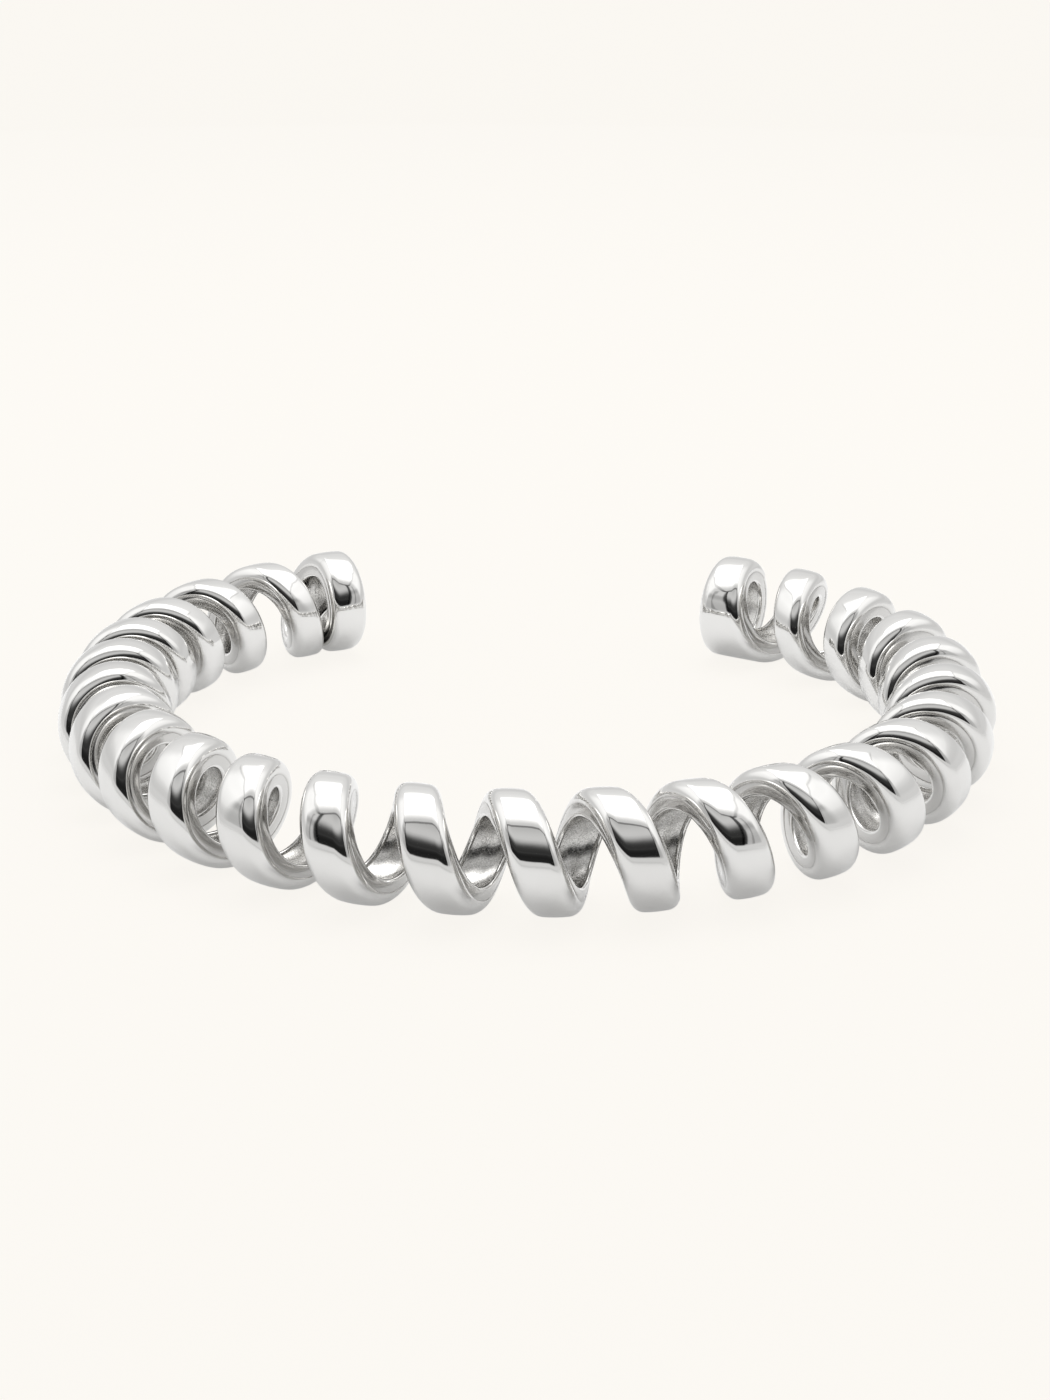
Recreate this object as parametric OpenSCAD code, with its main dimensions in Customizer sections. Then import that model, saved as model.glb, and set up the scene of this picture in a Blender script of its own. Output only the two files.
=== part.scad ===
// Spiral cuff bangle: one strip of metal wound as a right-handed coil, and the coil bent into an open C.
// It lies on its side as it rests: the wrist goes through along Z, and the opening is at the back (+Y).

/* [Strip] */
// Width of the strip across its outside
strip_w = 3.35; // [3:0.05:3.6]
// Thickness of the strip, from its crown to its inner rims
strip_t = 2.05; // [1.8:0.05:2.3]
// How far each round shoulder reaches in across the strip
shoulder_w = 0.85; // [0.6:0.05:1]
// How far each round shoulder reaches down the side of the strip
shoulder_h = 1; // [0.8:0.05:1.2]
// Width of the round rim on each side of the hollow back
rim_w = 0.45; // [0.35:0.05:0.6]
// Depth of the hollow along the back of the strip
hollow_h = 0.35; // [0.1:0.05:0.5]

/* [Coil] */
// Outside diameter of the coil
coil_d = 9; // [8.6:0.1:9.4]
// Turns of the strip from one end ring to the other
turns = 24.85; // [24:0.05:25]
// Where the strip leaves the left ring, in turns past the top of the ring
leave_left = 0.08; // [0:0.01:0.2]
// Turns over which the strip bends away from an end ring, half before it leaves and half after
bend_turns = 0.4; // [0.3:0.05:0.7]
// Width of each closed end ring
ring_w = 3.4; // [3.4:0.05:3.8]

/* [Shape of the C] */
// Width of the C along the middle of the coil
arc_w = 66.1; // [64:0.1:68]
// Depth of the C from its widest line to the front
arc_front = 31.3; // [30:0.1:33]
// Depth that the C would have from its widest line to the back, if it closed
arc_back = 29.5; // [29:0.1:32]
// Squareness of the front: 2 is half an ellipse, more is squarer
square_front = 1.99; // [1.9:0.01:2.3]
// Squareness of the back
square_back = 2.19; // [1.9:0.01:2.3]
// Angle round the C from the middle of the back to the left end
left_end = 28.2; // [27:0.1:33]
// Angle round the C from the middle of the back to the right end
right_end = 27.7; // [27:0.1:33]

/* [Spacing of the turns] */
// At the left end. The seven spacings keep their proportions and are scaled to fill the C.
space_left_end = 7.5; // [6:0.05:8]
// A sixth of the way round
space_left_back = 5.45; // [5:0.05:7.5]
// A third of the way round
space_left_front = 6.3; // [5:0.05:7.5]
// At the front
space_front = 6.7; // [5:0.05:7.5]
// Two thirds of the way round
space_right_front = 6.8; // [5:0.05:7.5]
// Five sixths of the way round
space_right_back = 6.75; // [5:0.05:7.5]
// At the right end
space_right_end = 7.4; // [6:0.05:8]

/* [Hidden] */

// Cross-sections for each turn of the coil, and steps along the C that its length is measured in
per_turn = 18;
arc_steps = 360;
// The strip's tails lie inside the end rings, drawn in by this share of their size
tuck = 0.05;
coil_r = coil_d / 2;

// Half of the cross-section as [across, out]: the crown is at 0 and the back is below it
half_section = [
    [strip_w / 2 - shoulder_w, 0],
    [strip_w / 2 - shoulder_w * (1 - sin(45)), -shoulder_h * (1 - cos(45))],
    [strip_w / 2, -shoulder_h],
    [strip_w / 2, -strip_t + rim_w / 2],
    [strip_w / 2 - rim_w / 2, -strip_t],
    [strip_w / 2 - 2 * rim_w, -strip_t + hollow_h]
];
section = concat(
    half_section,
    [for (i = [len(half_section) - 1:-1:0]) [-half_section[i].x, half_section[i].y]]
);
section_n = len(section);
section_middle = [0, -strip_t / 2];

// The C: an angle runs from the middle of the back round the left side, the front and the right side
function squared(x, squareness) = sign(x) * pow(abs(x), 2 / squareness);
function arc_point(a) =
    let (back = cos(a) > 0, squareness = back ? square_back : square_front)
        [
            -arc_w / 2 * squared(sin(a), squareness),
            (back ? arc_back : arc_front) * squared(cos(a), squareness),
            0
        ];
arc_points = [for (i = [0:arc_steps]) arc_point(left_end + (360 - left_end - right_end) * i / arc_steps)];
arc_lengths = [
    for (i = 0, s = 0; i <= arc_steps;
        s = s + (i < arc_steps ? norm(arc_points[i + 1] - arc_points[i]) : 0),
        i = i + 1) s
];
arc_length = arc_lengths[arc_steps];
arc_table = [for (i = [0:arc_steps]) [arc_lengths[i], i]];

// At a length s along the C: the point on it, the direction along it and the direction out of it
function unit(v) = v / norm(v);
function middle(s) =
    let (x = lookup(s, arc_table), i = min(floor(x), arc_steps - 1))
        arc_points[i] + (arc_points[i + 1] - arc_points[i]) * (x - i);
function chord(i) = unit(arc_points[min(i + 1, arc_steps)] - arc_points[max(i - 1, 0)]);
function along(s) =
    let (x = lookup(s, arc_table), i = min(floor(x), arc_steps - 1))
        unit(chord(i) * (i + 1 - x) + chord(i + 1) * (x - i));
function outward(s) = let (t = along(s)) [t.y, -t.x, 0];

// Direction from the middle of the coil to the strip. A turn is counted from the top, then outward.
function spoke(s, turn) = outward(s) * sin(360 * turn) + [0, 0, cos(360 * turn)];

// How fast the strip travels along the C at a turn: it eases in and out at the end rings
first_turn = 1 + leave_left;
last_turn = first_turn + turns;
spaces = [
    space_left_end,
    space_left_back,
    space_left_front,
    space_front,
    space_right_front,
    space_right_back,
    space_right_end
];
space_steps = len(spaces) - 1;
space_table = [for (i = [0:space_steps]) [first_turn + turns * i / space_steps, spaces[i]]];
function ease(x) = let (c = min(1, max(0, x))) c * c * (3 - 2 * c);
function free(turn) =
    ease((turn - first_turn) / bend_turns + 0.5) * ease((last_turn - turn) / bend_turns + 0.5);
function travel(turn) = free(turn) * lookup(turn, space_table);

// The strip's cross-sections stand at whole parts of a turn
strip_start = floor((first_turn - bend_turns / 2) * per_turn);
strip_n = ceil((last_turn + bend_turns / 2) * per_turn) - strip_start;
strip_turns = [for (i = [0:strip_n]) (strip_start + i) / per_turn];
strip_travel = [
    for (i = 0, s = 0; i <= strip_n;
        s = s + (i < strip_n ? (travel(strip_turns[i]) + travel(strip_turns[i + 1])) / 2 : 0),
        i = i + 1) s
];
strip_s = [
    for (t = strip_travel) ring_w / 2 + (arc_length - ring_w) * t / strip_travel[strip_n]
];
strip_line = [
    for (i = [0:strip_n]) middle(strip_s[i]) + spoke(strip_s[i], strip_turns[i]) * (coil_r - strip_t / 2)
];

// One cross-section of the strip, set square to the way the strip runs
function strip_section(i) =
    let (
        ray = spoke(strip_s[i], strip_turns[i]),
        way = unit(strip_line[min(strip_n, i + 1)] - strip_line[max(0, i - 1)]),
        out = unit(ray - way * (ray * way)),
        across = cross(way, out),
        size = 1 - tuck * (1 - free(strip_turns[i]))
    )
        [
            for (p = section)
                let (q = section_middle + (p - section_middle) * size)
                    middle(strip_s[i]) + ray * coil_r + across * q.x + out * q.y
        ];

// One cross-section of an end ring, square to the C and as wide as ring_w
function ring_section(s, turn) =
    let (ray = spoke(s, turn))
        [for (p = section) middle(s) + ray * (coil_r + p.y) - along(s) * p.x * ring_w / strip_w];

strip_points = [for (i = [0:strip_n]) each strip_section(i)];
left_points = [for (i = [0:per_turn - 1]) each ring_section(ring_w / 2, i / per_turn)];
right_points = [for (i = [0:per_turn - 1]) each ring_section(arc_length - ring_w / 2, i / per_turn)];

// The origin is the middle of the cuff's outline, at the level that it rests on
all_points = concat(strip_points, left_points, right_points);
function low(k) = min([for (p = all_points) p[k]]);
function high(k) = max([for (p = all_points) p[k]]);
rest_shift = [-(low(0) + high(0)) / 2, -(low(1) + high(1)) / 2, -low(2)];

// Two triangles from each side of cross-section a to the same side of cross-section b
function skin(a, b) = [
    for (j = [0:section_n - 1])
        let (k = (j + 1) % section_n)
            each [
                [a * section_n + j, b * section_n + j, b * section_n + k],
                [a * section_n + j, b * section_n + k, a * section_n + k]
            ]
];

module coil_strip() {
    last = strip_n * section_n;
    polyhedron(
        points = strip_points,
        faces = concat(
            [for (i = [0:strip_n - 1]) each skin(i, i + 1)],
            [[for (j = [0:section_n - 1]) j]],
            [[for (j = [section_n - 1:-1:0]) last + j]]
        )
    );
}

module end_ring(points) {
    polyhedron(
        points = points,
        faces = [for (i = [0:per_turn - 1]) each skin(i, (i + 1) % per_turn)]
    );
}

module spiral_cuff() {
    color("silver")
        translate(rest_shift) {
            coil_strip();
            end_ring(left_points);
            end_ring(right_points);
        }
}

spiral_cuff();
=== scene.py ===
import math

import bmesh
import bpy
import numpy as np
from mathutils import Matrix, Vector


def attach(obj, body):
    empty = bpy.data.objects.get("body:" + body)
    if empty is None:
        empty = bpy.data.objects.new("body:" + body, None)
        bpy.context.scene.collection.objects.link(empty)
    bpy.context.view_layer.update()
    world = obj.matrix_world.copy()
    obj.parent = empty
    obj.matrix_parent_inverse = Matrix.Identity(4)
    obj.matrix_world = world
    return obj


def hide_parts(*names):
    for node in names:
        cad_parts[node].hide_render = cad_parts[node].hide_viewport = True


bl_info = {
    "name": "Spiral cuff bangle",
    "version": (1, 0, 0),
    "blender": (4, 5, 0),
    "location": "3D View > Sidebar > Bangle",
    "description": "Makes a polished spiral cuff bangle round its solid, with a studio to show it in",
    "category": "Add Mesh",
}

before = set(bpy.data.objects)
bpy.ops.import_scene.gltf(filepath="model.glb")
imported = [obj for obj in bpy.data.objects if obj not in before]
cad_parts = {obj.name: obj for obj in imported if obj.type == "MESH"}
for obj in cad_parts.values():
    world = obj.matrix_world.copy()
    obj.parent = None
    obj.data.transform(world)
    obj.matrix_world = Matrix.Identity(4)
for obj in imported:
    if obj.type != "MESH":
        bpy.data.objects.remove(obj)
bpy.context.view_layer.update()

# Cross-sections of the strip in each turn, and steps in which the C and the turns are measured
PER_TURN = 64
ARC_STEPS = 1440
TURN_STEPS = 400
# Steps in each round shoulder, and in each half of a rim
SHOULDER_STEPS = 10
RIM_STEPS = 3
# How full the shoulders are: 2 is a quarter of an ellipse, more is squarer
SHOULDER_FULLNESS = 2.1
# How far the outside falls from its middle to the shoulders, and the fine line cut below each one
CROWN = 0.00004
LINE_PLACE = 0.00106
LINE_WIDTH = 0.00008
LINE_DEPTH = 0.000025
# The end rings lie this far inside the strip where the two run together, and the strip's tails
# shrink by this share into the rings
RING_INSET = 0.000015
TAIL_SHRINK = 0.03
# Turns over which the strip's edge leaves the edge of the left ring and joins that of the right ring
LEFT_LEAVES = (0.14, 0.3)
RIGHT_JOINS = (0.52, 0.38)
# Edges sharper than this stay crisp
SMOOTH_ANGLE = math.radians(40)
# Brightness of the tent's walls and of its dark front card, by height in degrees
WALL_LIGHT = (
    (0, 0.92),
    (6, 0.79),
    (11, 0.73),
    (16, 0.76),
    (21, 0.88),
    (25, 1.04),
    (30, 1.12),
    (37, 1.2),
    (43, 1.27),
    (52, 1.25),
    (62, 1.4),
    (75, 1.6),
)
NEAR_CARD_LIGHT = (
    (0, 0.75),
    (14, 0.75),
    (20, 0.68),
    (26, 0.6),
    (31, 0.43),
    (35, 0.43),
    (39, 0.63),
    (52, 0.6),
    (57, 0.7),
    (61, 1),
)
CARD_LIGHT = (
    (0, 0.02),
    (11, 0.018),
    (14, 0.015),
    (18, 0.023),
    (21, 0.045),
    (23, 0.036),
    (27, 0.045),
    (30, 0.075),
    (32, 0.13),
    (34, 0.22),
    (36.5, 0.38),
    (39, 0.54),
    (43, 0.7),
    (48, 0.71),
    (54, 0.67),
    (60, 0.61),
    (66, 0.56),
)
# Slots of the two finishes
POLISHED, SATIN = 0, 1


class StripSizes(bpy.types.PropertyGroup):
    """Sizes of the strip of metal."""

    width: bpy.props.FloatProperty(
        name="Width", description="Width of the strip across its outside",
        default=0.00335, unit="LENGTH",
    )
    thickness: bpy.props.FloatProperty(
        name="Thickness", description="From the outside to the rims",
        default=0.00205, unit="LENGTH",
    )
    shoulder_width: bpy.props.FloatProperty(
        name="Shoulder width", description="How far each round shoulder reaches in",
        default=0.00085, unit="LENGTH",
    )
    shoulder_height: bpy.props.FloatProperty(
        name="Shoulder height", description="How far each shoulder reaches down the side",
        default=0.001, unit="LENGTH",
    )
    rim: bpy.props.FloatProperty(
        name="Rim", description="Width of the round rim beside the hollow back",
        default=0.00045, unit="LENGTH",
    )
    hollow: bpy.props.FloatProperty(
        name="Hollow", description="Depth of the hollow back",
        default=0.00035, unit="LENGTH",
    )


class CoilSizes(bpy.types.PropertyGroup):
    """Sizes of the coil and the spacing of its turns."""

    diameter: bpy.props.FloatProperty(
        name="Diameter", description="Outside diameter of the coil",
        default=0.009, unit="LENGTH",
    )
    turns: bpy.props.FloatProperty(
        name="Turns", description="Turns of the strip from ring to ring", default=24.85,
    )
    leave_left: bpy.props.FloatProperty(
        name="Leaves left ring", description="Turns past the top of the left ring", default=0.08,
    )
    bend_turns: bpy.props.FloatProperty(
        name="Bend", description="Turns over which the strip bends off a ring", default=0.4,
    )
    ring_width: bpy.props.FloatProperty(
        name="Ring width", description="Width of each closed end ring",
        default=0.0034, unit="LENGTH",
    )
    spacing: bpy.props.FloatVectorProperty(
        name="Spacing", description="Spacing of the turns at seven places from left to right",
        size=7, default=(7.5, 5.45, 6.3, 6.7, 6.8, 6.75, 7.4),
    )


class ArcSizes(bpy.types.PropertyGroup):
    """Shape of the C that the coil follows."""

    width: bpy.props.FloatProperty(
        name="Width", description="Width of the C along the middle of the coil",
        default=0.0661, unit="LENGTH",
    )
    front: bpy.props.FloatProperty(
        name="Front", description="Depth from the widest line to the front",
        default=0.0313, unit="LENGTH",
    )
    back: bpy.props.FloatProperty(
        name="Back", description="Depth to the back, if the C closed",
        default=0.0295, unit="LENGTH",
    )
    square_front: bpy.props.FloatProperty(
        name="Front squareness", description="2 is half an ellipse", default=1.99,
    )
    square_back: bpy.props.FloatProperty(
        name="Back squareness", description="2 is half an ellipse", default=2.19,
    )
    left_end: bpy.props.FloatProperty(
        name="Left end", description="Angle from the middle of the back",
        default=math.radians(28.2), subtype="ANGLE",
    )
    right_end: bpy.props.FloatProperty(
        name="Right end", description="Angle from the middle of the back",
        default=math.radians(27.7), subtype="ANGLE",
    )
    centre: bpy.props.FloatVectorProperty(
        name="Centre", description="Middle of the widest line of the C",
        default=(0, 0.00288, 0.0045), subtype="TRANSLATION",
    )


class FinishColours(bpy.types.PropertyGroup):
    """Colours of the metal."""

    polished: bpy.props.FloatVectorProperty(
        name="Polished", description="Colour that the polished metal mirrors with",
        default=(0.785, 0.778, 0.762), subtype="COLOR",
    )
    # Also painted shade: the side walls between the turns are mixed towards this colour.
    dulled_and_shaded: bpy.props.FloatVectorProperty(
        name="Dulled", description="Polished metal where it is handled and in its turned lines",
        default=(0.7, 0.692, 0.675), subtype="COLOR",
    )
    satin: bpy.props.FloatVectorProperty(
        name="Satin", description="Metal in the hollow back",
        default=(0.66, 0.65, 0.63), subtype="COLOR",
    )
    # Also painted shade: the polished side walls between the turns and their fine cut line are darkened
    # towards this colour.
    dark_grain_and_shade: bpy.props.FloatVectorProperty(
        name="Satin, dark", description="Darker grains in the hollow back",
        default=(0.4, 0.39, 0.375), subtype="COLOR",
    )


class StudioSettings(bpy.types.PropertyGroup):
    """The floor, the light and the camera."""

    floor_matt: bpy.props.FloatVectorProperty(
        name="Floor, matt", description="Share of the light that the floor throws back",
        default=(0.05, 0.049, 0.047), subtype="COLOR",
    )
    floor_glow: bpy.props.FloatVectorProperty(
        name="Floor, glow", description="Light that the floor gives off by itself",
        default=(0.915, 0.89, 0.847), subtype="COLOR",
    )
    mirrored_matt: bpy.props.FloatVectorProperty(
        name="Mirrored floor, matt", description="The same, for the floor that the metal mirrors",
        default=(0.55, 0.55, 0.55), subtype="COLOR",
    )
    mirrored_glow: bpy.props.FloatVectorProperty(
        name="Mirrored floor, glow", description="The same, for the floor that the metal mirrors",
        default=(0.31, 0.31, 0.31), subtype="COLOR",
    )
    floor_size: bpy.props.FloatProperty(
        name="Floor size", description="Side of the floor", default=6, unit="LENGTH",
    )
    tent_radius: bpy.props.FloatProperty(
        name="Tent radius", description="Radius of the light tent", default=0.4, unit="LENGTH",
    )
    distance: bpy.props.FloatProperty(
        name="Distance", description="From the camera to the centre of the C",
        default=0.2082, unit="LENGTH",
    )
    elevation: bpy.props.FloatProperty(
        name="Elevation", description="How high the camera stands",
        default=math.radians(19.83), subtype="ANGLE",
    )
    azimuth: bpy.props.FloatProperty(
        name="Azimuth", description="How far the camera stands to the right of the front",
        default=math.radians(1.33), subtype="ANGLE",
    )
    roll: bpy.props.FloatProperty(
        name="Roll", description="Turn of the camera about its view",
        default=math.radians(0.405), subtype="ANGLE",
    )
    lens: bpy.props.FloatProperty(
        name="Lens", description="Focal length in millimetres", default=66.14,
    )
    shift: bpy.props.FloatProperty(
        name="Shift", description="Sideways shift of the lens", default=-0.0017,
    )


class Wire:
    """An output socket of a node tree, used in plain arithmetic."""

    def __init__(self, tree, socket=None):
        self.tree = tree
        self.socket = socket

    def add(self, kind, inputs=None, out=0, stops=None, **settings):
        """Adds a node: its settings are set first, then a value or a wire for each input."""
        node = self.tree.nodes.new(kind)
        for name, value in settings.items():
            setattr(node, name, value)
        if stops:
            ramp = node.color_ramp.elements
            while len(ramp) < len(stops):
                ramp.new(1)
            for element, (place, level) in zip(ramp, stops):
                element.position = place
                element.color = (level, level, level, 1)
        for name, value in (inputs or {}).items():
            if isinstance(value, Wire):
                self.tree.links.new(value.socket, node.inputs[name])
            else:
                node.inputs[name].default_value = value
        return Wire(self.tree, node.outputs[out]) if node.outputs else None

    def maths(self, operation, *values, clamp=False):
        """A Math node on these values."""
        return self.add(
            "ShaderNodeMath", dict(enumerate(values)), operation=operation, use_clamp=clamp
        )

    def __add__(self, other):
        return self.maths("ADD", self, other)

    __radd__ = __add__

    def __sub__(self, other):
        return self.maths("SUBTRACT", self, other)

    def __rsub__(self, other):
        return self.maths("SUBTRACT", other, self)

    def __mul__(self, other):
        return self.maths("MULTIPLY", self, other)

    __rmul__ = __mul__

    def __truediv__(self, other):
        return self.maths("DIVIDE", self, other)

    def __abs__(self):
        return self.maths("ABSOLUTE", self)

    def step(self, low, high):
        """Rises smoothly from 0 at low to 1 at high."""
        return self.add(
            "ShaderNodeMapRange",
            {"Value": self, "From Min": low, "From Max": high},
            interpolation_type="SMOOTHSTEP",
        )

    def mix(self, first, second):
        """A colour between two, with this wire as the factor."""
        return self.add("ShaderNodeMix", {0: self, 6: first, 7: second}, out=2, data_type="RGBA")

    def noise(self, scale, detail=2.0, out=0, **inputs):
        """Noise over this vector."""
        values = {"Vector": self, "Scale": scale, "Detail": detail}
        values.update({name.capitalize(): value for name, value in inputs.items()})
        return self.add("ShaderNodeTexNoise", values, out=out)

    def stretched(self, scale):
        """This vector, each of its numbers times its own scale."""
        return self.add("ShaderNodeVectorMath", {0: self, 1: scale}, operation="MULTIPLY")


def seam(distance, width):
    """1 on a line and 0 at this distance from it."""
    return 1 - abs(distance).step(width * 0.4, width)


def colour(values):
    """A colour property with its alpha."""
    return (*values, 1)


def finish(name):
    """A new material with an empty tree."""
    material = bpy.data.materials.new(name)
    material.use_nodes = True
    material.node_tree.nodes.clear()
    return material, Wire(material.node_tree)


def polished_silver(colours):
    """Mirror polish with the slight waves, hairlines and handling marks of a cast piece."""
    material, tree = finish("polished_silver")
    place = tree.add("ShaderNodeTexCoord", out="Object")
    strip = tree.add("ShaderNodeAttribute", out="Vector", attribute_name="strip_place")
    depth = tree.add("ShaderNodeSeparateXYZ", {"Vector": strip}, out="Z")
    # The side walls between the turns: weaker bumps, more roughness, and painted shade in their colour
    # below.
    side = depth.step(-0.0008, -0.0011) * depth.step(-0.00186, -0.00178)
    waves = place.noise(300, 1.5) * (1 - side)
    ripples = place.noise(1100, 2) * (1 - side * 0.9)
    hairlines = strip.stretched((260, 16000, 16000)).noise(1, 2) * (1 - side)
    smudges = place.noise(170, 3).step(0.42, 0.68)
    bump = tree.add("ShaderNodeBump", {"Strength": 1.0, "Distance": 0.00004, "Height": waves})
    bump = tree.add(
        "ShaderNodeBump", {"Strength": 1.0, "Distance": 0.0000025, "Height": ripples, "Normal": bump}
    )
    bump = tree.add(
        "ShaderNodeBump",
        {"Strength": 1.0, "Distance": 0.0000001, "Height": hairlines, "Normal": bump},
    )
    # Painted shade: the side walls between the turns are mixed towards the dulled colour and then
    # towards the darkest colour, and the fine line cut below each shoulder is darkened as well. The
    # handling marks (smudges) are real dulling of the polish.
    shade = (smudges * 0.35 + side * 0.3).mix(colour(colours.polished), colour(colours.dulled_and_shaded))
    dark = side * 0.35 + seam(depth + LINE_PLACE, LINE_WIDTH) * 0.25
    shade = dark.mix(shade, colour(colours.dark_grain_and_shade))
    shader = tree.add(
        "ShaderNodeBsdfPrincipled",
        {
            "Base Color": shade,
            "Metallic": 1.0,
            "Roughness": 0.04 + smudges * 0.03 + side * 0.1,
            "Normal": bump,
        },
    )
    tree.add("ShaderNodeOutputMaterial", {"Surface": shader})
    return material


def satin_silver(colours):
    """The cast skin in the hollow back: grains that catch the light one by one."""
    material, tree = finish("satin_silver")
    place = tree.add("ShaderNodeTexCoord", out="Object")
    grains = place.noise(9000, 2, roughness=0.6)
    hollows = place.noise(800, 2)
    flecks = tree.add("ShaderNodeTexVoronoi", {"Vector": place, "Scale": 8000}, out="Color")
    fleck = tree.add("ShaderNodeSeparateColor", {"Color": flecks}, out="Red")
    bump = tree.add("ShaderNodeBump", {"Strength": 1.0, "Distance": 0.00001, "Height": hollows})
    bump = tree.add(
        "ShaderNodeBump",
        {"Strength": 1.0, "Distance": 0.000005, "Height": grains, "Normal": bump},
    )
    shade = (0.45 + grains.step(0.35, 0.6) * 0.55).mix(colour(colours.dark_grain_and_shade), colour(colours.satin))
    shader = tree.add(
        "ShaderNodeBsdfPrincipled",
        {
            "Base Color": shade,
            "Metallic": 1.0,
            "Roughness": 0.17 + fleck * 0.15,
            "Normal": bump,
        },
    )
    tree.add("ShaderNodeOutputMaterial", {"Surface": shader})
    return material


def powered(values, power):
    """Each value to a power, with its sign kept."""
    return np.sign(values) * np.abs(values) ** power


def ease(values):
    """Rises smoothly from 0 at 0 to 1 at 1."""
    held = np.clip(values, 0, 1)
    return held * held * (3 - 2 * held)


class CoilPath:
    """Where the coil runs: the C that it follows, and how far along it each turn has come."""

    def __init__(self, strip, coil, arc):
        self.radius = coil.diameter / 2
        self.centre = np.array(arc.centre)
        angles = np.linspace(arc.left_end, 2 * math.pi - arc.right_end, ARC_STEPS + 1)
        back = np.cos(angles) > 0
        power = 2 / np.where(back, arc.square_back, arc.square_front)
        across = -arc.width / 2 * powered(np.sin(angles), power)
        along = np.where(back, arc.back, arc.front) * powered(np.cos(angles), power)
        self.points = np.stack([across, along], 1)
        self.lengths = np.append(0, np.cumsum(np.hypot(*np.diff(self.points, axis=0).T)))
        self.length = self.lengths[-1]
        self.directions = np.gradient(self.points, self.lengths, axis=0)
        self.first = 1 + coil.leave_left
        self.last = self.first + coil.turns
        self.bend = coil.bend_turns
        self.ring_width = coil.ring_width
        ends = (self.first - self.bend / 2, self.last + self.bend / 2)
        self.turn_table = np.linspace(*ends, int(TURN_STEPS * coil.turns))
        places = np.linspace(self.first, self.last, len(coil.spacing))
        travel = self.free(self.turn_table) * np.interp(self.turn_table, places, coil.spacing)
        steps = (travel[1:] + travel[:-1]) / 2
        run = np.append(0, np.cumsum(steps))
        self.travel_table = coil.ring_width / 2 + (self.length - coil.ring_width) * run / run[-1]
        self.slope_table = np.gradient(self.travel_table, self.turn_table)

    def free(self, turns):
        """How far the strip is free of the end rings: 0 is a closed ring, 1 the full spacing."""
        left = ease((turns - self.first) / self.bend + 0.5)
        right = ease((self.last - turns) / self.bend + 0.5)
        return left * right

    def travelled(self, turns):
        """The length along the C at these turns."""
        return np.interp(turns, self.turn_table, self.travel_table)

    def lean(self, turns):
        """The angle at which the strip runs along the C at these turns."""
        slope = np.interp(turns, self.turn_table, self.slope_table)
        return np.arctan2(slope, 2 * math.pi * self.radius)

    def lay(self, lengths, turns, radii):
        """Places in the frame for points at these lengths along the C, turns and radii."""
        middle = np.stack([np.interp(lengths, self.lengths, p) for p in self.points.T], 1)
        way = np.stack([np.interp(lengths, self.lengths, d) for d in self.directions.T], 1)
        way /= np.hypot(*way.T)[:, None]
        # beyond its ends the C goes on straight
        over = lengths - np.clip(lengths, 0, self.length)
        middle += way * over[:, None]
        outward = np.stack([way[:, 1], -way[:, 0]], 1)
        angle = 2 * math.pi * turns
        flat = middle + outward * (radii * np.sin(angle))[:, None]
        return np.column_stack([flat, radii * np.cos(angle)]) + self.centre


def outline(strip, width):
    """Closed outline of the strip as (across, out): out is 0 at the crown and falls to the back."""
    half = width / 2
    flat = half - strip.shoulder_width
    points = [(0, 0), (flat * 0.55, -CROWN * 0.3)]
    power = 2 / SHOULDER_FULLNESS
    fall = strip.shoulder_height - CROWN * (half / flat) ** 2
    for i in range(SHOULDER_STEPS + 1):
        angle = math.pi / 2 * i / SHOULDER_STEPS
        across = flat + strip.shoulder_width * math.sin(angle) ** power
        drop = 1 - max(0, math.cos(angle)) ** power
        points.append((across, -CROWN * (across / flat) ** 2 - fall * drop))
    for i, depth in enumerate((0, 1, 0)):
        points.append((half - LINE_DEPTH * depth, -LINE_PLACE + LINE_WIDTH * (0.5 - i / 2)))
    rim = strip.rim / 2
    back = -strip.thickness
    for i in range(2 * RIM_STEPS + 1):
        angle = math.pi / 2 * i / RIM_STEPS
        points.append((half - rim + rim * math.cos(angle), back + rim - rim * math.sin(angle)))
    floor = half - 2 * strip.rim
    points += [
        (floor + strip.rim * 0.45, back + strip.hollow * 0.8),
        (floor - strip.rim * 0.2, back + strip.hollow),
        (floor * 0.45, back + strip.hollow),
    ]
    mirrored = [(-across, out) for across, out in reversed(points) if across > 0]
    return points + mirrored


def deselect_all():
    """Nothing is selected or active."""
    bpy.ops.object.select_all(action="DESELECT")
    bpy.context.view_layer.objects.active = None


def add_outline(name, strip, radius, width):
    """A circle shaped to the strip's outline, standing beside the Z axis."""
    shape = outline(strip, width)
    bpy.ops.mesh.primitive_circle_add(vertices=len(shape), radius=width / 2, fill_type="NOTHING")
    piece = bpy.context.object
    piece.name = name
    piece.data.name = name
    for vertex, (across, out) in zip(piece.data.vertices, shape):
        vertex.co = (radius + out, 0, across)
    return piece, shape


def edit(piece):
    """Goes into edit mode on the piece and returns its mesh with nothing selected."""
    bpy.context.view_layer.objects.active = piece
    bpy.ops.object.mode_set(mode="EDIT")
    bpy.ops.mesh.select_mode(type="VERT")
    bpy.ops.mesh.select_all(action="DESELECT")
    mesh = bmesh.from_edit_mesh(piece.data)
    mesh.verts.ensure_lookup_table()
    return mesh


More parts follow.
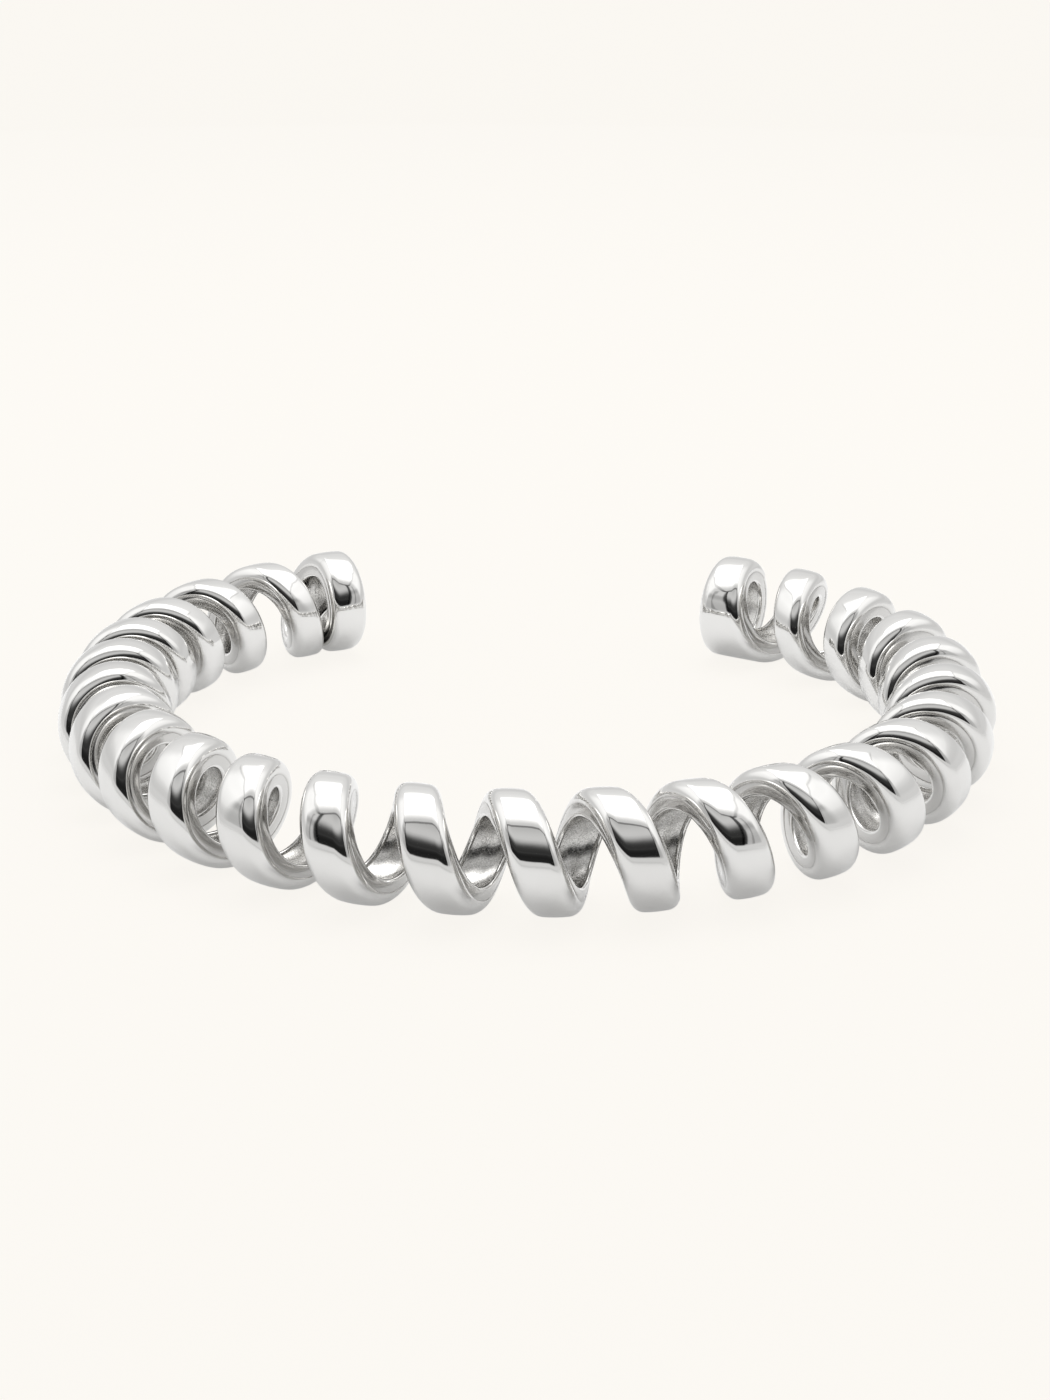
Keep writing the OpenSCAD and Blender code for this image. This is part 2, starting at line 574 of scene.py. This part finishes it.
def complete(piece, strip, strip_place, materials):
    """Stores where each point is on the strip, gives the finishes and puts the piece in the frame."""
    mesh = piece.data
    bpy.ops.object.mode_set(mode="EDIT")
    bpy.ops.mesh.select_all(action="SELECT")
    bpy.ops.mesh.normals_make_consistent(inside=False)
    bpy.ops.object.mode_set(mode="OBJECT")
    attribute = mesh.attributes.new("strip_place", "FLOAT_VECTOR", "POINT")
    attribute.data.foreach_set("vector", strip_place.astype(np.float32).ravel())
    for material in materials:
        mesh.materials.append(material)
    hollow = -strip.thickness + strip.hollow * 1.3
    inner = strip.width / 2 - strip.rim * 0.55
    for face in mesh.polygons:
        places = strip_place[list(face.vertices)]
        deep = places[:, 2].mean() < hollow and abs(places[:, 1]).max() < inner
        face.material_index = SATIN if deep and len(places) == 4 else POLISHED
    bpy.ops.object.shade_smooth_by_angle(angle=SMOOTH_ANGLE)
    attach(piece, "root")
    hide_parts("spiral_cuff")


def silver():
    """The two finishes, made once."""
    colours = bpy.context.scene.bangle_colours
    found = bpy.data.materials.get
    return (
        found("polished_silver") or polished_silver(colours),
        found("satin_silver") or satin_silver(colours),
    )


class BANGLE_OT_coil_strip(bpy.types.Operator):
    """Winds the strip into its coil along the C"""

    bl_idname = "bangle.coil_strip"
    bl_label = "Coil strip"

    def execute(self, context):
        scene = context.scene
        strip, coil = scene.bangle_strip, scene.bangle_coil
        path = CoilPath(strip, coil, scene.bangle_arc)
        deselect_all()
        piece, shape = add_outline("coil_strip", strip, path.radius, strip.width)
        start = math.floor(path.turn_table[0] * PER_TURN)
        steps = math.ceil(path.turn_table[-1] * PER_TURN) - start
        screw = piece.modifiers.new("coil", "SCREW")
        screw.axis = "Z"
        screw.steps = screw.render_steps = steps
        screw.angle = 2 * math.pi * steps / PER_TURN
        screw.screw_offset = 2 * coil.ring_width * steps / PER_TURN
        screw.use_merge_vertices = False
        bpy.ops.object.modifier_apply(modifier=screw.name)
        count = len(shape)
        total = len(piece.data.vertices)
        if total != count * (steps + 1):
            raise RuntimeError(f"the coil has {total} points")
        section = np.arange(total) // count
        across, out = np.array(shape)[np.arange(total) % count].T
        turns = (start + section) / PER_TURN
        lean = path.lean(turns)
        length = path.travelled(turns)
        # near an end ring the edge on that side stays on the ring's own edge
        flat = strip.width / 2 - strip.shoulder_width
        share = np.clip(across / flat, -1, 1)
        half = strip.width / 2 * np.cos(lean)
        left = 1 - ease((turns - path.first - LEFT_LEAVES[0]) / (LEFT_LEAVES[1] - LEFT_LEAVES[0]))
        joined = path.last - turns
        right = ease((RIGHT_JOINS[0] - joined) / (RIGHT_JOINS[0] - RIGHT_JOINS[1]))
        gap_left = length - half
        gap_right = path.length - length - half
        pulled = right * gap_right * (1 - share) / 2 - left * gap_left * (1 + share) / 2
        # the tails sink into the rings
        size = 1 - TAIL_SHRINK * ease(1 - path.free(turns) * 3)
        middle = -strip.thickness / 2
        radius = path.radius + middle + (out - middle) * size
        across_laid = across * size
        lengths = length - across_laid * np.cos(lean) + pulled
        around = turns + across_laid * np.sin(lean) / (2 * math.pi * radius)
        places = path.lay(lengths, around, radius)
        piece.data.vertices.foreach_set("co", places.ravel())
        piece.data.update()
        mesh = edit(piece)
        for first in (0, total - count):
            bpy.ops.mesh.select_all(action="DESELECT")
            for vertex in mesh.verts[first : first + count]:
                vertex.select = True
            mesh.select_flush(True)
            bpy.ops.mesh.edge_face_add()
            mesh = bmesh.from_edit_mesh(piece.data)
            mesh.verts.ensure_lookup_table()
        bpy.ops.object.mode_set(mode="OBJECT")
        run = turns * 2 * math.pi * path.radius
        complete(piece, strip, np.stack([run, across, out], 1), silver())
        return {"FINISHED"}


class BANGLE_OT_end_rings(bpy.types.Operator):
    """Turns the two closed rings that end the coil"""

    bl_idname = "bangle.end_rings"
    bl_label = "End rings"

    def execute(self, context):
        scene = context.scene
        strip, coil = scene.bangle_strip, scene.bangle_coil
        path = CoilPath(strip, coil, scene.bangle_arc)
        half = coil.ring_width / 2
        for name, length in (("left_end_ring", half), ("right_end_ring", path.length - half)):
            deselect_all()
            width = coil.ring_width - 4 * RING_INSET
            piece, shape = add_outline(name, strip, path.radius - RING_INSET, width)
            edit(piece)
            bpy.ops.mesh.select_all(action="SELECT")
            bpy.ops.mesh.spin(
                steps=PER_TURN, angle=2 * math.pi, center=(0, 0, 0), axis=(0, 0, 1)
            )
            bpy.ops.mesh.select_all(action="SELECT")
            bpy.ops.mesh.remove_doubles(threshold=RING_INSET / 10)
            bpy.ops.object.mode_set(mode="OBJECT")
            points = np.array([v.co for v in piece.data.vertices])
            radii = np.hypot(points[:, 0], points[:, 1])
            turned = points[:, 0] / radii * path.radius
            strip_place = np.stack([turned, points[:, 2], radii - radii.max()], 1)
            at = np.array([length])
            top = Vector(path.lay(at, np.array([0.0]), np.array([path.radius]))[0])
            side = Vector(path.lay(at, np.array([0.25]), np.array([path.radius]))[0])
            middle = Vector(path.lay(at, np.array([0.0]), np.array([0.0]))[0])
            up = (top - middle).normalized()
            out = (side - middle).normalized()
            turn = Matrix((up, out, up.cross(out))).transposed().to_4x4()
            piece.matrix_world = Matrix.Translation(middle) @ turn
            bpy.ops.object.transform_apply(location=True, rotation=True, scale=True)
            complete(piece, strip, strip_place, silver())
        return {"FINISHED"}


class BANGLE_OT_stage(bpy.types.Operator):
    """Sets out the floor, the light tent and the camera"""

    bl_idname = "bangle.stage"
    bl_label = "Stage"

    def execute(self, context):
        scene = context.scene
        studio = scene.bangle_studio
        self.add_floors(studio)
        self.add_room(scene)
        self.add_tent(studio)
        self.add_camera(scene, studio)
        return {"FINISHED"}

    def add_floors(self, studio):
        """A plain pale floor for the camera, and a neutral one that the metal mirrors."""
        for name, level, albedo, glow in (
            ("floor", -0.00002, studio.floor_matt, studio.floor_glow),
            ("mirrored_floor", -0.00001, studio.mirrored_matt, studio.mirrored_glow),
        ):
            deselect_all()
            bpy.ops.mesh.primitive_plane_add(size=studio.floor_size, location=(0, 0, level))
            floor = bpy.context.object
            floor.name = name
            bpy.ops.object.transform_apply(location=True, rotation=True, scale=True)
            material, tree = finish(name + "_paper")
            matt = tree.add("ShaderNodeBsdfDiffuse", {"Color": colour(albedo)})
            light = tree.add("ShaderNodeEmission", {"Color": colour(glow)})
            surface = tree.add("ShaderNodeAddShader", {0: matt, 1: light})
            if name == "mirrored_floor":
                # away from the bangle the floor is evenly bright, and brighter to the sides
                place = tree.add("ShaderNodeTexCoord", out="Object")
                parts = tree.add("ShaderNodeSeparateXYZ", {"Vector": place})
                away = tree.add("ShaderNodeVectorMath", {0: place}, out=1, operation="LENGTH")
                sides = abs(parts / tree.maths("MAXIMUM", away, 0.01)).step(0.6, 0.95)
                even = tree.add("ShaderNodeEmission", {"Color": 0.72 + sides * 0.13})
                surface = tree.add(
                    "ShaderNodeMixShader", {0: away.step(0.05, 0.14), 1: surface, 2: even}
                )
            tree.add("ShaderNodeOutputMaterial", {"Surface": surface})
            floor.data.materials.append(material)
            seen = name == "floor"
            floor.visible_camera = seen
            floor.visible_glossy = not seen
            floor.visible_shadow = seen
            floor.visible_diffuse = False

    def add_room(self, scene):
        """The pale room outside the tent."""
        world = bpy.data.worlds.new("pale_room")
        scene.world = world
        world.use_nodes = True
        world.node_tree.nodes.clear()
        tree = Wire(world.node_tree)
        glow = tree.add("ShaderNodeBackground", {"Color": (0.963, 0.938, 0.886, 1)})
        tree.add("ShaderNodeOutputWorld", {"Surface": glow})

    def add_tent(self, studio):
        """A light tent round the stage: a soft box on top, bright sides and a dark front card."""
        deselect_all()
        bpy.ops.mesh.primitive_uv_sphere_add(
            segments=96, ring_count=48, radius=studio.tent_radius, location=(0, 0, 0)
        )
        tent = bpy.context.object
        tent.name = "light_tent"
        bpy.ops.object.mode_set(mode="EDIT")
        bpy.ops.mesh.bisect(
            plane_co=(0, 0, 0), plane_no=(0, 0, 1), clear_inner=True, use_fill=False
        )
        bpy.ops.object.mode_set(mode="OBJECT")
        material, tree = finish("tent_light")
        place = tree.add("ShaderNodeTexCoord", out="Object")
        side, back, up = (
            tree.add("ShaderNodeSeparateXYZ", {"Vector": place}, out=i) / studio.tent_radius
            for i in range(3)
        )
        height = tree.maths("ARCSINE", up) * (180 / math.pi)
        turned = abs(tree.maths("ARCTAN2", side, back * -1)) * (180 / math.pi)
        # places on a flat ceiling one metre up
        level = tree.maths("MAXIMUM", up, 0.02)
        across = abs(side / level)
        ahead = back / level

        def graded(stops, fac):
            """Brightness by height in degrees, from stops of height and brightness."""
            marks = [(place / 90, value / 2) for place, value in stops]
            return tree.add("ShaderNodeValToRGB", {"Fac": fac / 90}, stops=marks) * 2

        walls = graded(WALL_LIGHT, height)
        rear = turned.step(118, 140) * height.step(16, 30) * (1 - height.step(44, 54))
        near = 1 - turned.step(66, 76)
        walls = walls * (1 - rear * 0.2) * (1 - near * (1 - graded(NEAR_CARD_LIGHT, height)))
        # the dark card, which has a dark edge and a fold in the cloth beside it
        edge = 48 + (height - 15) * 0.26
        above_card = ahead.step(-0.445, -0.425)
        off_card = tree.maths("MAXIMUM", (turned - edge).step(-1, 1), above_card)
        light = graded(CARD_LIGHT, height) * (1 - off_card) + walls * off_card
        card_edge = seam(turned - edge, 3.2) * height.step(6, 9) * 0.9 * (1 - above_card)
        fold = seam(turned - edge - 8, 1.6) * 0.4
        light = light * (1 - card_edge) * (1 - fold * (1 - above_card))
        # the soft box, whose sides bow out towards the front, and the seams round it
        bow = tree.maths("MAXIMUM", 0.25 - ahead, 0) * 0.33 + 0.55
        box = above_card * (1 - (across - bow).step(-0.02, 0.02)) * (1 - ahead.step(0.8, 1.1))
        box_light = 0.74 + ahead.step(-0.36, 0.0) * 1.1
        light = light * (1 - box) + box_light * box
        front_seam = seam(ahead + 0.43, 0.05) * (1 - (across - bow).step(-0.02, 0.04))
        side_seam = seam(across - bow, 0.05) * above_card * (1 - ahead.step(0.8, 1.2))
        side_seam = side_seam * (0.3 + (1 - ahead.step(-0.42, -0.3)) * 0.35)
        light = light * (1 - front_seam * 0.66) * (1 - side_seam)
        # the middle of the box, overhead, is the brightest
        lamp = ahead.step(-0.15, 0.25) * (1 - ahead.step(0.55, 0.8))
        lamp = lamp * (1 - (across - bow).step(-0.25, -0.1))
        light = light + lamp * 2.5
        low = height.step(5, 7.5)
        light = light * low + (1 - low) * 0.78
        glow = tree.add("ShaderNodeEmission", {"Color": light})
        tree.add("ShaderNodeOutputMaterial", {"Surface": glow})
        material.cycles.emission_sampling = "NONE"
        tent.data.materials.append(material)
        tent.visible_camera = False

    def add_camera(self, scene, studio):
        """The camera at the photograph's angle."""
        centre = Vector(scene.bangle_arc.centre)
        lift, turn = studio.elevation, studio.azimuth
        back = Vector(
            (math.sin(turn) * math.cos(lift), -math.cos(turn) * math.cos(lift), math.sin(lift))
        )
        right = Vector((math.cos(turn), math.sin(turn), 0))
        up = back.cross(right)
        rolled = right * math.cos(studio.roll) + up * math.sin(studio.roll)
        axes = Matrix((rolled, back.cross(rolled), back)).transposed()
        bpy.ops.object.camera_add(
            location=centre + back * studio.distance, rotation=axes.to_euler()
        )
        camera = bpy.context.object
        camera.name = "camera"
        camera.data.lens = studio.lens
        camera.data.sensor_width = 36
        camera.data.shift_x = studio.shift
        camera.data.clip_start = 0.001
        scene.camera = camera
        scene.view_settings.view_transform = "Standard"


class BANGLE_PT_panel(bpy.types.Panel):
    """Sizes, colours and pieces of the bangle."""

    bl_idname = "BANGLE_PT_panel"
    bl_label = "Spiral cuff bangle"
    bl_space_type = "VIEW_3D"
    bl_region_type = "UI"
    bl_category = "Bangle"

    def draw(self, context):
        layout = self.layout
        for name, group in GROUPS.items():
            box = layout.box()
            box.label(text=group.__doc__)
            for prop in group.__annotations__:
                box.prop(getattr(context.scene, name), prop)
        for operator in OPERATORS:
            layout.operator(operator.bl_idname)


GROUPS = {
    "bangle_strip": StripSizes,
    "bangle_coil": CoilSizes,
    "bangle_arc": ArcSizes,
    "bangle_colours": FinishColours,
    "bangle_studio": StudioSettings,
}
OPERATORS = (BANGLE_OT_coil_strip, BANGLE_OT_end_rings, BANGLE_OT_stage)


def register():
    for name, group in GROUPS.items():
        bpy.utils.register_class(group)
        setattr(bpy.types.Scene, name, bpy.props.PointerProperty(type=group))
    for operator in (*OPERATORS, BANGLE_PT_panel):
        bpy.utils.register_class(operator)


def unregister():
    for operator in (BANGLE_PT_panel, *reversed(OPERATORS)):
        bpy.utils.unregister_class(operator)
    for name, group in reversed(GROUPS.items()):
        delattr(bpy.types.Scene, name)
        bpy.utils.unregister_class(group)


def main():
    register()
    bpy.ops.bangle.coil_strip()
    bpy.ops.bangle.end_rings()
    bpy.ops.bangle.stage()


if __name__ == "__main__":
    main()
